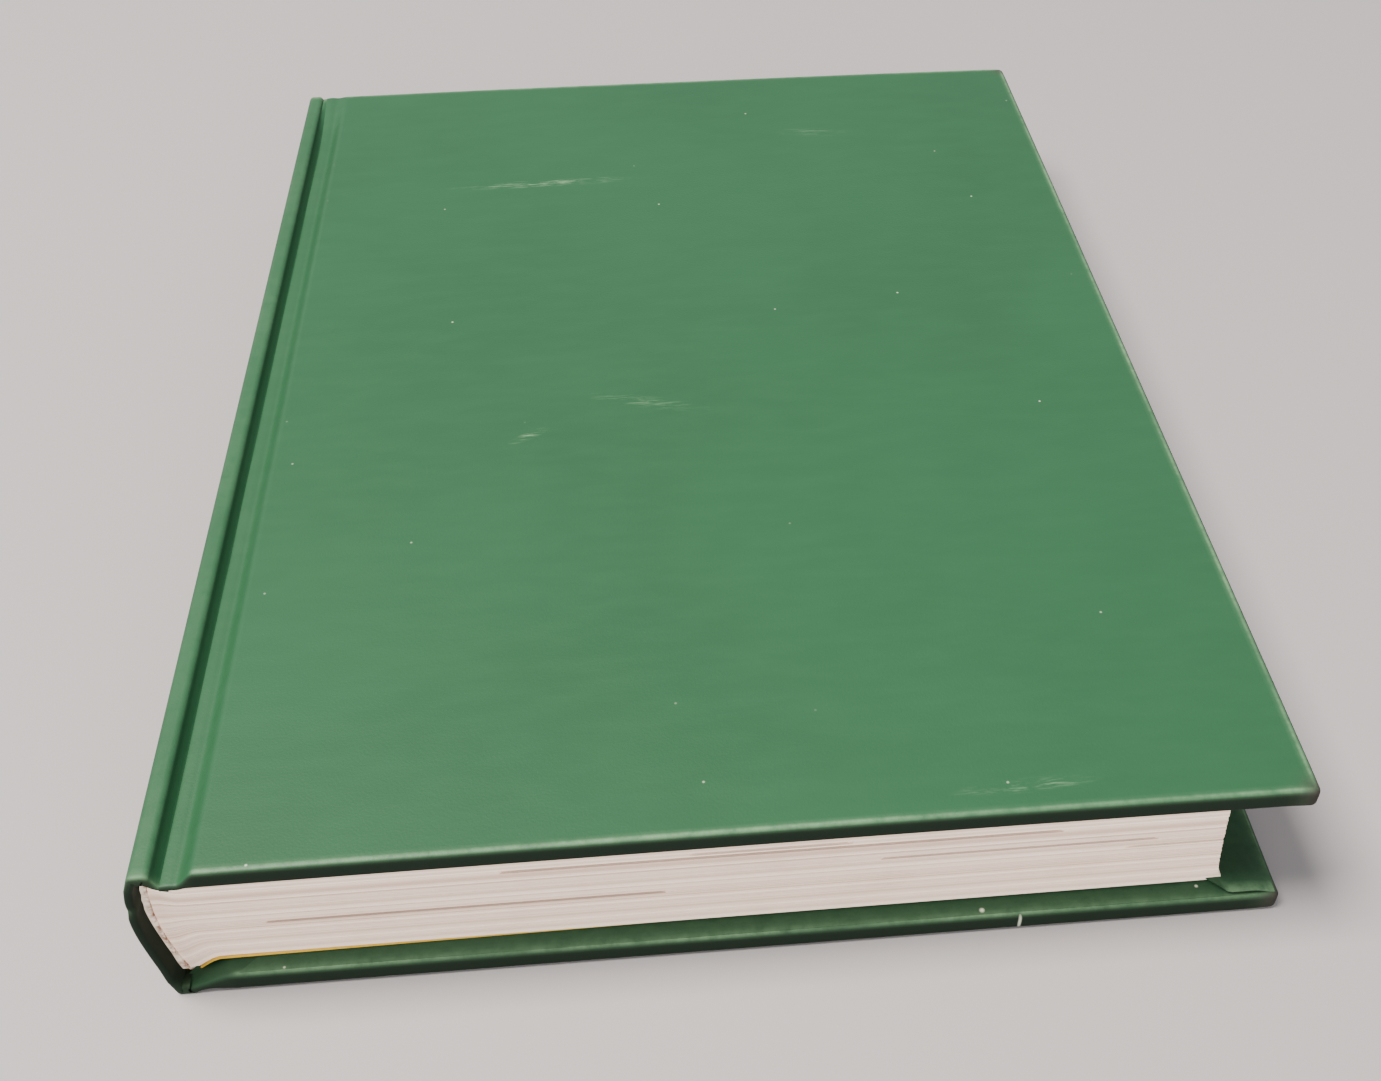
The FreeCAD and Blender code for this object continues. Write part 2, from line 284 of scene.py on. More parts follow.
def book_cloth():
    """Coated cotton book cloth, calendered smooth, rubbed pale on its folds, with painted
    highlights and painted shade.
    """
    material, tree, shader = new_material("coated_book_cloth_green", 0.44, CLOTH_GREEN)
    place = rest_place(tree)
    cloudy = noise(tree, place, 55 * MM, 2.0)
    colour = mix(tree, ramp(tree, cloudy, 0.35, 0.65), linear(CLOTH_DEEP), linear(CLOTH_GREEN))
    mottle = noise(tree, stretched(tree, place, (0.3, 1.0, 1.0)), 4 * MM, 4.0, 0.6)
    colour = mix(tree, ramp(tree, mottle, 0.40, 0.75, 0.0, 0.4), colour, linear(CLOTH_FADED))
    # Pale where rubbed, and a painted highlight along the top of each rim.
    wear_and_highlight = add_node(tree, "ShaderNodeAttribute", {"attribute_name": "wear_and_highlight"}).outputs["Fac"]
    flaky = noise(tree, place, 2.5 * MM, 5.0, 0.65)
    rubbed_and_lit = math_node(tree, "MULTIPLY", wear_and_highlight, ramp(tree, flaky, 0.25, 0.6, 0.25, 1.0))
    # Painted shade on cloth that is out of the light.
    under = add_node(tree, "ShaderNodeAttribute", {"attribute_name": "under"}).outputs["Fac"]
    colour = mix(tree, under, colour, linear(PAINTED_SHADE_GREEN))
    colour = mix(tree, rubbed_and_lit, colour, linear(RUBBED_AND_LIT_GREEN))
    bare = add_node(tree, "ShaderNodeAttribute", {"attribute_name": "bare"}).outputs["Fac"]
    chipped = math_node(tree, "MULTIPLY", bare, ramp(tree, flaky, 0.2, 0.42))
    colour = mix(tree, chipped, colour, linear(BARE_CORNER))
    streaks = noise(tree, stretched(tree, place, (0.12, 1.0, 1.0)), 0.7 * MM, 3.0, 0.7)
    worn = ramp(tree, streaks, 0.48, 0.66, 0.0, 0.85)
    for scuff in SCUFFS:
        share = math_node(tree, "MULTIPLY", scuff_mask(tree, place, scuff), worn)
        share = math_node(tree, "MULTIPLY", share, scuff["pale"])
        colour = mix(tree, share, colour, linear(RUBBED_AND_LIT_GREEN))
    for nick in NICKS:
        colour = mix(tree, scuff_mask(tree, place, nick), colour, linear(DUST))
    settings = {"voronoi_dimensions": "2D"}
    specks = add_node(tree, "ShaderNodeTexVoronoi", settings, Vector=place, Scale=1 / (27 * MM))
    dusty = ramp(tree, specks.outputs["Distance"], 0.004, 0.012, 0.6, 0.0)
    chance = add_node(tree, "ShaderNodeSeparateColor", None, Color=specks.outputs["Color"])
    dusty = math_node(tree, "MULTIPLY", dusty, ramp(tree, chance.outputs[0], 0.62, 0.95))
    colour = mix(tree, dusty, colour, linear(DUST))
    tree.links.new(colour, shader.inputs["Base Color"])
    dull = math_node(tree, "MULTIPLY", rubbed_and_lit, 0.15)
    dull = math_node(tree, "ADD", dull, math_node(tree, "MULTIPLY", under, 0.4))
    gloss = math_node(tree, "ADD", ramp(tree, mottle, 0.3, 0.7, 0.44, 0.455), dull)
    tree.links.new(gloss, shader.inputs["Roughness"])
    weave = noise(tree, place, GRAIN, 2.0)
    height = math_node(tree, "ADD", math_node(tree, "MULTIPLY", flaky, 0.2), weave)
    add_bump(tree, shader, height, 0.05 * MM, 0.6)
    shader.inputs["Specular IOR Level"].default_value = 0.18
    return material


CLOTH = book_cloth()
print("cloth grain", GRAIN / MM, "mm")

# %% [markdown]
# ## Papers
# The sections are uncoated ledger paper, a little pink and yellowed with age. A page carries
# pale blue rows and red columns, which stay inside its margins. The rules follow the
# page's own map, so the thin edges of a leaf stay plain. Leaf edges get fine layers instead,
# with painted shade in the gaps between them.

# %% Ledger paper and endpaper
# The darkest paper colour is painted shade for the gaps between leaves.
PAPER_LIGHT, PAPER_DARK, PAPER_GAP_SHADE = "FFEEDF", "D4BCAB", "94796A"
RULE_BLUE, RULE_RED = "8FA6B8", "B9746C"
RULE_PITCH, COLUMN_PITCH, RULE_WIDTH = 7.0 * MM, 23.0 * MM, 0.3 * MM
PAGE_MARGIN = 14 * MM
FORE_MARGIN = 6 * MM
LAYER = 0.3 * MM
LAYER_DRIFT = 0.004


def rule_lines(tree, along, pitch):
    """1 on lines one pitch apart, RULE_WIDTH wide."""
    turns = math_node(tree, "DIVIDE", along, pitch)
    phase = math_node(tree, "FRACT", turns)
    return math_node(tree, "LESS_THAN", phase, RULE_WIDTH / pitch)


def between(tree, value, low, high):
    """1 where value lies between low and high."""
    above = math_node(tree, "GREATER_THAN", value, low)
    return math_node(tree, "MULTIPLY", above, math_node(tree, "LESS_THAN", value, high))


def ledger_paper(name, ruled):
    """Uncoated ledger paper, its layered edges and, where ruled, its pale blue rules."""
    material, tree, shader = new_material(name, 0.8, PAPER_LIGHT)
    place = rest_place(tree)
    tone = add_node(tree, "ShaderNodeAttribute", {"attribute_name": "tone"}).outputs["Fac"]
    sheet = add_node(tree, "ShaderNodeAttribute", {"attribute_name": "sheet"}).outputs["Fac"]
    far = add_node(tree, "ShaderNodeSeparateXYZ", None, i0=place)
    drift = math_node(tree, "MULTIPLY_ADD", far.outputs[1], LAYER_DRIFT)
    edge = add_node(tree, "ShaderNodeCombineXYZ", None, X=drift, Z=sheet)
    layers = noise(tree, edge.outputs[0], LAYER, 3.0, 0.7)
    bands = noise(tree, edge.outputs[0], 5 * LAYER, 1.0)
    foxed = noise(tree, place, 14 * MM, 4.0, 0.6)
    shade = math_node(tree, "ADD", math_node(tree, "MULTIPLY", tone, 0.20),
                      ramp(tree, layers, 0.35, 0.75, 0.0, 0.25))
    shade = math_node(tree, "ADD", shade, ramp(tree, bands, 0.42, 0.58, 0.0, 0.8))
    shade = math_node(tree, "ADD", shade, ramp(tree, foxed, 0.5, 0.8, 0.0, 0.2))
    colour = mix(tree, shade, linear(PAPER_LIGHT), linear(PAPER_DARK))
    # Painted shade in the thin gaps between the layers of leaves on the edges.
    gap_shade = ramp(tree, layers, 0.62, 0.70, 0.0, 0.45)
    colour = mix(tree, gap_shade, colour, linear(PAPER_GAP_SHADE))
    if ruled:
        page = add_node(tree, "ShaderNodeUVMap", {"uv_map": "page"}).outputs["UV"]
        parts = add_node(tree, "ShaderNodeSeparateXYZ", None, i0=page)
        outer = leaf_high[0] - BOARD_X - FORE_MARGIN
        across = between(tree, parts.outputs[0], PAGE_MARGIN, outer)
        along = between(tree, parts.outputs[1], PAGE_MARGIN, 2 * LEAF_HALF_Y - PAGE_MARGIN)
        printed = math_node(tree, "MULTIPLY", across, along)
        rows = rule_lines(tree, parts.outputs[1], RULE_PITCH)
        columns = rule_lines(tree, parts.outputs[0], COLUMN_PITCH)
        for lines, ink in ((rows, RULE_BLUE), (columns, RULE_RED)):
            inked = math_node(tree, "MULTIPLY", math_node(tree, "MULTIPLY", lines, printed), 0.7)
            colour = mix(tree, inked, colour, linear(ink))
    tree.links.new(colour, shader.inputs["Base Color"])
    add_bump(tree, shader, layers, 0.08 * MM, 0.5)
    return material


def plain_paper(name, light, dark, roughness, grain, depth):
    """A sheet of one colour with fibres and a slight mottle."""
    material, tree, shader = new_material(name, roughness, light)
    place = rest_place(tree)
    fibres = noise(tree, stretched(tree, place, (1.0, 0.35, 1.0)), grain, 5.0, 0.7)
    blotches = noise(tree, place, 25 * MM, 3.0)
    shade = math_node(tree, "MULTIPLY", ramp(tree, fibres, 0.3, 0.7),
                      ramp(tree, blotches, 0.3, 0.7, 0.5, 1.0))
    tree.links.new(mix(tree, shade, linear(light), linear(dark)), shader.inputs["Base Color"])
    add_bump(tree, shader, fibres, depth, 0.6)
    return material


RULED = ledger_paper("ledger_paper_ruled", True)
PLAIN = ledger_paper("ledger_paper_plain", False)
ENDPAPER = plain_paper("yellow_endpaper", "D0AC2C", "B9921E", 0.7, 1.2 * MM, 0.05 * MM)
print("papers:", RULED.name, PLAIN.name, ENDPAPER.name)

# %% [markdown]
# ## The cover's own shape
# A case-bound cover is a board with cloth stretched over it. The cloth runs on past the board
# as a thin strip, down into the groove where it is pressed with a hot rod. So one closed sheet
# can be both: thick over the board, thin in the groove. The groove runs out at the head, and
# at the tail of the back cover the strip slopes up over the shoulder. The rim is rounded, the
# two outer corners are drawn in, and columns are close together only where the shape turns.

# %% Rows and columns of the cover
RIM = 1.0 * MM
CORNER_RADIUS = 1.5 * MM
GROOVE_Z = TOP_Z - 3.1 * MM
JOINT_SHEET = 1.0 * MM
SEAM_X = SHOULDER_X + 0.1 * MM
rim_steps = [RIM * (1 - math.sin(math.radians(a))) for a in (90, 68, 45, 22, 0)]


def spread(low, high, pitch):
    """Evenly spaced places from low to high, about a pitch apart, without the last."""
    count = max(2, round((high - low) / pitch))
    return [low + (high - low) * i / count for i in range(count)]


BEND_PITCH, FLAT_PITCH = 0.4 * MM, 4.0 * MM
EDGE_BAND = 10 * MM
flat_from = BOARD_X + 3.5 * MM
edge_inset = rim_steps + [RIM * s for s in (1.5, 2.2, 3.2, 4.6, 6.5)]
columns = spread(SEAM_X, flat_from, BEND_PITCH)
columns += spread(flat_from, FORE_X - EDGE_BAND, FLAT_PITCH)
columns += [FORE_X - d for d in reversed(edge_inset)]
rows = [-HALF_Y + d for d in edge_inset]
rows += spread(-HALF_Y + EDGE_BAND, HALF_Y - EDGE_BAND, FLAT_PITCH)
rows += [HALF_Y - d for d in reversed(edge_inset)]
print(len(columns), "columns by", len(rows), "rows")


# %% Shape one cover
def cover_outline(x, y):
    """Draw in the two fore corners. Returns the new places and the distance to the outline."""
    u = np.clip((x - (FORE_X - CORNER_RADIUS)) / CORNER_RADIUS, 0, 1)
    v = np.clip((abs(y) - (HALF_Y - CORNER_RADIUS)) / CORNER_RADIUS, 0, 1)
    new_x = x - CORNER_RADIUS * (u - u * np.sqrt(1 - v * v / 2))
    new_y = abs(y) - CORNER_RADIUS * (v - v * np.sqrt(1 - u * u / 2))
    reach = np.hypot(u * np.sqrt(1 - v * v / 2), v * np.sqrt(1 - u * u / 2))
    in_corner = (u > 0) & (v > 0)
    straight = np.minimum(FORE_X - x, HALF_Y - abs(y))
    distance = np.where(in_corner, CORNER_RADIUS * (1 - reach), straight)
    return new_x, np.sign(y) * new_y, np.maximum(distance, 0)


def rim_drop(distance, radius):
    """How far a rounded rim falls at a distance inside the outline."""
    inside = np.clip(radius - distance, 0, radius)
    return radius - np.sqrt(radius ** 2 - inside ** 2)


def ripple(x, y, seed, size):
    """A slow random wave from -1 to 1, the same each run."""
    dice = np.random.default_rng(seed)
    total = 0
    for octave in range(4):
        heading, phase = dice.uniform(0, 2 * math.pi, 2)
        wave = size / (1.0 + 0.7 * octave)
        along = x * math.cos(heading) + y * math.sin(heading)
        total = total + np.sin(2 * math.pi * along / wave + phase) / (1 + octave)
    return total / 2.1


GROOVE_WAVE, GROOVE_WAVE_LONG = 0.15 * MM, 40 * MM
BOARD_WAVE, BOARD_WAVE_LONG = 0.10 * MM, 160 * MM
BRUISE_REACH, BRUISE_WAVE_LONG = 3.4 * MM, 9 * MM
WEAR_WAVE_LONG = 60 * MM
TAIL_REACH = 8 * MM
HEAD_REACH = 12 * MM
HEAD_FILL = 2.6 * MM
# How much painted shade the covers' inner faces and the turn-ins get.
INNER_PAINTED_SHADE = 0.5
JOINT_FOOT_X = CORNER_X + 1.6 * MM


def cover_grids(seed, crown, tail_fill):
    """The upper and lower grids of a front cover, and per upper point its rubbing with painted
    highlight, its bruise and its painted shade.
    """
    x, y = np.meshgrid(columns, rows, indexing="ij")
    new_x, new_y, distance = cover_outline(x, y)
    near_tail = close_to(y + HALF_Y, TAIL_REACH)
    head_fill = HEAD_FILL * close_to(HALF_Y - y, HEAD_REACH)
    if tail_fill > 0:
        stretch = np.clip((BOARD_X - x) / (BOARD_X - SEAM_X), 0, 1)
        new_x = new_x - (SEAM_X - JOINT_FOOT_X) * stretch * smooth_step(near_tail, 0.5, 0.95)
    rise = smooth_step(x, BOARD_X - 3.4 * MM, BOARD_X + 0.4 * MM)
    valley = GROOVE_WAVE * np.sin((x - SEAM_X) / (BOARD_X - SEAM_X) * 2 * math.pi)
    groove_wave = GROOVE_WAVE * ripple(x, y, seed, GROOVE_WAVE_LONG)
    groove = GROOVE_Z + valley * (1 - rise) + groove_wave
    groove = groove + tail_fill * near_tail + head_fill
    board = TOP_Z - 0.12 * MM + BOARD_WAVE * ripple(x, y, seed + 1, BOARD_WAVE_LONG)
    middle = 1 - ((x - (BOARD_X + FORE_X) / 2) / (WIDTH / 2)) ** 2
    board = board + crown * np.clip(middle, 0, 1)
    top = groove * (1 - rise) + board * rise
    body = smooth_step(x, BOARD_X - 0.6 * MM, BOARD_X + 0.6 * MM)
    inner = INNER_Z + 0.30 * MM + board - TOP_Z
    slope = near_tail * 1.2 * tail_fill * smooth_step(BOARD_X - x, 0, BOARD_X - SEAM_X)
    at_seam = 1 - smooth_step(x, SEAM_X, SEAM_X + 2 * MM)
    strip = top - JOINT_SHEET + 0.3 * MM * at_seam - tail_fill * near_tail
    strip = strip - head_fill * (1 - rise)
    bottom = np.minimum(strip, inner) * (1 - body) + inner * body + slope
    radius = np.minimum(RIM, 0.48 * (top - bottom))
    fall = rim_drop(distance, radius)
    upper = np.stack([new_x, new_y, top - fall], -1)
    lower = np.stack([new_x, new_y, bottom + fall], -1)
    corner = np.hypot(FORE_X - x, HALF_Y - abs(y))
    bruise = close_to(corner, BRUISE_REACH)
    crushed = bruise * (1 + 0.5 * ripple(x, y, seed + 2, BRUISE_WAVE_LONG))
    upper[..., 2] -= 0.15 * MM * crushed
    lower[..., 2] -= 0.30 * MM * crushed
    # Rubbing on the rim, whose pale band along the top of the rounding is also a painted
    # highlight; the groove's strip gets a trace.
    wear_and_highlight = 0.70 * close_to(distance - 0.95 * RIM, 0.42 * RIM) * body
    wear_and_highlight = wear_and_highlight + 0.03 * (1 - body)
    wear_and_highlight = wear_and_highlight * (0.75 + 0.35 * ripple(x, y, seed + 3, WEAR_WAVE_LONG)) + 0.2 * bruise
    # Painted shade on the rim's outer faces, which are out of the light.
    under = 1 - smooth_step(distance, 0.15 * RIM, 0.6 * RIM)
    return upper, lower, wear_and_highlight, bruise, under


def store_cloth(mesh, wear_and_highlight, bare, under):
    """How rubbed (with a painted highlight), scraped and painted with shade the cloth is, each as
    upper and lower values.
    """
    for name, values in (("wear_and_highlight", wear_and_highlight), ("bare", bare), ("under", under)):
        store(mesh, name, "FLOAT", np.concatenate([v.ravel() for v in values]), "value")


def make_cover(side, seed, crown, flip, tail_fill=0.0):
    """The case cloth of one cover, with its board and its strip of the groove."""
    upper, lower, wear_and_highlight, bruise, under = cover_grids(seed, crown, tail_fill)
    points, faces = closed_sheet(upper, lower, flip)
    if flip:
        points = turned_over(points)
    piece = add_piece(side + "_case_cloth", points, faces, CLOTH)
    # The inner face gets at least this much painted shade.
    inside = np.maximum(under, INNER_PAINTED_SHADE)
    store_cloth(piece.data, (wear_and_highlight, wear_and_highlight), (bruise, bruise), (under, inside))
    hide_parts(side + "_cover_cloth", side + "_joint_cloth")
    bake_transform(piece)
    return piece


front_case = make_cover("front", 11, 0.35 * MM, False)
back_case = make_cover("back", 23, 0.0, True, 2.5 * MM)
print(front_case.name, len(front_case.data.polygons), "faces")

# %% [markdown]
# ## The spine
# The spine is a strip of card under the cloth, rounded to the back of the sections. Its cloth
# turns over both shoulders and down into the grooves. The outline is drawn once as a curve
# across the spine, made of arcs, and run from tail to head. One sheet stands for the cloth and
# for the card inside it. Its ends are folded in, so they show two layers of cloth and the card.

# %% Spine outline and sheet
SPINE_SHEET = 1.5 * MM
FOLD_SHEET = 0.55 * MM
END_FOLD = 1.5 * MM
CREASE_Z = 0.74 * TOP_Z
CREASE_DEPTH = 0.32 * MM
SPINE_CORNER = 1.3 * MM
SHOULDER_ROUND = 1.2 * MM
SPINE_RIM = 0.6 * MM
SPINE_INSETS = [d * MM for d in (1.2, 2.5, 5, 8, 12)]
SPINE_TAIL_REACH = 9 * MM
SPINE_EVEN, SPINE_PITCH = 16 * MM, 8 * MM
BACK_STEPS = 12
CREASE_WIDE, CREASE_SLOPE = 1.5 * MM, 0.12
FOOT_FLAT, FOOT_DROP = 0.7 * MM, 0.75
FILL_BELOW_TOP = 0.9 * MM
spine_radius = (MID_Z ** 2 + BULGE ** 2) / (2 * BULGE)
spine_centre = CORNER_X - BULGE + spine_radius


def arc(centre_x, centre_z, radius, angles):
    """Points of an arc, by angles in degrees from +X."""
    turns = [math.radians(a) for a in angles]
    return [(centre_x + radius * math.cos(t), centre_z + radius * math.sin(t)) for t in turns]


def spine_outline():
    """Outer points of the front half, from the foot of the groove to the middle of the spine."""
    top = TOP_Z - 0.05 * MM
    wall_x = SHOULDER_X - 1.0 * MM
    points = [(SHOULDER_X + 1.6 * MM, GROOVE_Z - 0.75 * MM)]
    points.append((SHOULDER_X + 0.6 * MM, GROOVE_Z - 0.45 * MM))
    points.append((SHOULDER_X - 0.3 * MM, GROOVE_Z + 0.2 * MM))
    points += arc(wall_x - SHOULDER_ROUND, top - SHOULDER_ROUND, SHOULDER_ROUND,
                  range(0, 91, 15))
    points.append((CORNER_X + 2.0 * MM, top - 0.02 * MM))
    points += arc(CORNER_X + SPINE_CORNER, top - SPINE_CORNER, SPINE_CORNER, range(90, 171, 20))
    back_top = top - 2 * SPINE_CORNER
    for step in range(1, BACK_STEPS + 1):
        z = back_top + (MID_Z - back_top) * step / BACK_STEPS
        back = math.sqrt(spine_radius ** 2 - (z - MID_Z) ** 2)
        points.append((spine_centre - back, z))
    return np.array(points)


def make_spine():
    """The spine's cloth and card as one sheet, with its ends rounded."""
    half = spine_outline()
    under = half[-2::-1] * np.array([1, -1]) + np.array([0, TOP_Z])
    outline = np.concatenate([half, under])
    tangent = np.gradient(outline, axis=0)
    tangent /= np.linalg.norm(tangent, axis=1)[:, None]
    inward = np.stack([-tangent[:, 1], tangent[:, 0]], -1)
    on_back = smooth_step(-outline[:, 0], -CORNER_X - 1.0 * MM, -CORNER_X + 0.6 * MM)
    thick = FOLD_SHEET + (SPINE_SHEET - FOLD_SHEET) * on_back
    on_shoulder = (1 - on_back) * smooth_step(-outline[:, 0], -SHOULDER_X, 1.5 * MM - SHOULDER_X)
    insets = [SPINE_RIM * (1 - math.sin(math.radians(a))) for a in (90, 60, 30, 0)]
    insets += SPINE_INSETS
    ys = [-HALF_Y + d for d in insets]
    ys += spread(-HALF_Y + SPINE_EVEN, HALF_Y - SPINE_EVEN, SPINE_PITCH)
    ys = np.array(ys + [HALF_Y - d for d in [SPINE_EVEN] + insets[::-1]])
    section, y = np.meshgrid(np.arange(len(outline)), ys, indexing="ij")
    end = HALF_Y - abs(y)
    fall = rim_drop(end, SPINE_RIM) * np.minimum(1, thick[section] / (1.25 * MM))
    z = outline[section, 1]
    tail = close_to(y + HALF_Y, SPINE_TAIL_REACH)
    crease = close_to(z - CREASE_Z + CREASE_SLOPE * (y + HALF_Y), CREASE_WIDE) * tail
    lower_flat = FOOT_FLAT * smooth_step(-z, -CREASE_Z, -0.3 * TOP_Z) * tail
    lower_flat = lower_flat * smooth_step(z, 0.02 * TOP_Z, 0.25 * TOP_Z)
    sag = (fall + (CREASE_DEPTH * crease + lower_flat) * on_back[section])[..., None]
    outer = outline[section] + inward[section] * sag
    folded = END_FOLD * on_shoulder[section] * smooth_step(-end, -4.2 * MM, -2.5 * MM)
    depth = thick[section] + folded + sag[..., 0] - 2 * fall
    inner = outline[section] + inward[section] * depth[..., None]
    upper = np.stack([outer[..., 0], y, outer[..., 1]], -1)
    lower = np.stack([inner[..., 0], y, inner[..., 1]], -1)
    flatten = close_to(y + HALF_Y, TAIL_REACH) * (1 - on_back[section])
    flatten = flatten * (z < MID_Z)
    near_head = close_to(HALF_Y - y, HEAD_REACH) * (z > MID_Z)
    foot = smooth_step(outline[section, 0], SHOULDER_X - 1.6 * MM, SHOULDER_X - 0.6 * MM)
    filled = np.maximum(TOP_Z - FILL_BELOW_TOP - z, 0) * near_head * foot
    for face in (upper, lower):
        face[..., 2] -= flatten * FOOT_DROP * np.minimum(z, TOP_Z - GROOVE_Z)
        face[..., 2] += filled
    points, faces = closed_sheet(upper, lower, True)
    piece = add_piece("spine_case_cloth", points, faces, CLOTH)
    # Rubbing on the spine's bends, ends and crease; on the bends and ends it is also a painted
    # highlight.
    bend = close_to(abs(z - MID_Z) - MID_Z + 0.6 * MM, 0.9 * MM)
    at_end = close_to(end - 0.7 * MM, 0.5 * MM) * (1 - on_back[section])
    wear_and_highlight = 0.12 * bend + 0.5 * at_end + 0.25 * crease ** 4
    wear_and_highlight = wear_and_highlight * (0.7 + 0.4 * ripple(z * 4, y, 5, 50 * MM))
    # Painted shade on the cut ends, fainter over the back, and full on the inner face.
    under = np.maximum(1 - smooth_step(end, 0.1 * MM, 0.6 * MM), 0.6 * on_back[section])
    none = np.zeros(wear_and_highlight.size)
    store_cloth(piece.data, (wear_and_highlight, 0.3 * wear_and_highlight), (none, none), (under, np.ones(under.size)))
    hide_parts("spine_cloth", "spine_inlay")
    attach(piece, "text_block")
    return piece


spine = make_spine()
print(spine.name, len(spine.data.polygons), "faces")

# %% [markdown]
# ## The sewn sections
# A text block is hundreds of leaves that each follow the same rule: flat over the boards, then
# fanned out into the shoulder beside the spine. That is a job for Geometry Nodes. One thin slab
# is repeated up the section, and each copy is set to its own height, fanned near the spine and
# pushed out of line by a random amount. A few leaves are short and leave a dark slit.

# %% Section tree: sizes as named inputs
FAN_FLAT_X = SHOULDER_X + 0.2 * MM
FAN_LENGTH = 4.0 * MM
TAIL_FAN = 3.4 * MM
TAIL_FAN_REACH = 22 * MM
FAN_SCALE = (TOP_Z - 0.5 * MM - MID_Z) / (leaf_high[2] - MID_Z)
SECTION_COUNT = 13
SLIT_DEPTH, SLIT_SPREAD = 4.0 * MM, 1.1
section_boxes = [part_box("section_%02d" % (n + 1)) for n in range(SECTION_COUNT)]
BLOCK_LOW_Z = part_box("back_flyleaf")[1][2] + 0.1 * MM
LAST_LEAF_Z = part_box("log_leaf_4")[0][2]
BLOCK_HIGH_Z = LAST_LEAF_Z - 0.1 * MM
BACK_X = min(low[0] for low, high in section_boxes)
FORE_LOW_X = max(high[0] for low, high in section_boxes)
FORE_HIGH_X = min(high[0] for low, high in section_boxes)
SIZES = {
    "Low Z": BLOCK_LOW_Z, "High Z": BLOCK_HIGH_Z, "Mid Z": MID_Z, "Half Height": LEAF_HALF_Y,
    "Back X": BACK_X, "Back Bulge": BULGE * 0.95, "Fan Flat X": FAN_FLAT_X,
    "Fan Length": FAN_LENGTH, "Fan Scale": FAN_SCALE, "Fore X": FORE_LOW_X - 0.6 * MM,
    "Fore Lean": FORE_LOW_X - FORE_HIGH_X + 0.8 * MM, "Slit From": 0.0, "Slit To": 0.0,
    "Ragged": 0.07 * MM, "Section Share": 0.0, "Lip": 0.6 * MM, "Tail Fan": TAIL_FAN,
    "Middle Row": TAIL_FAN_REACH / (2 * LEAF_HALF_Y) - 0.5,
}
COUNTS = {"Leaves": 9, "Columns": 56, "Seed": 1, "Slit Leaf": -1}


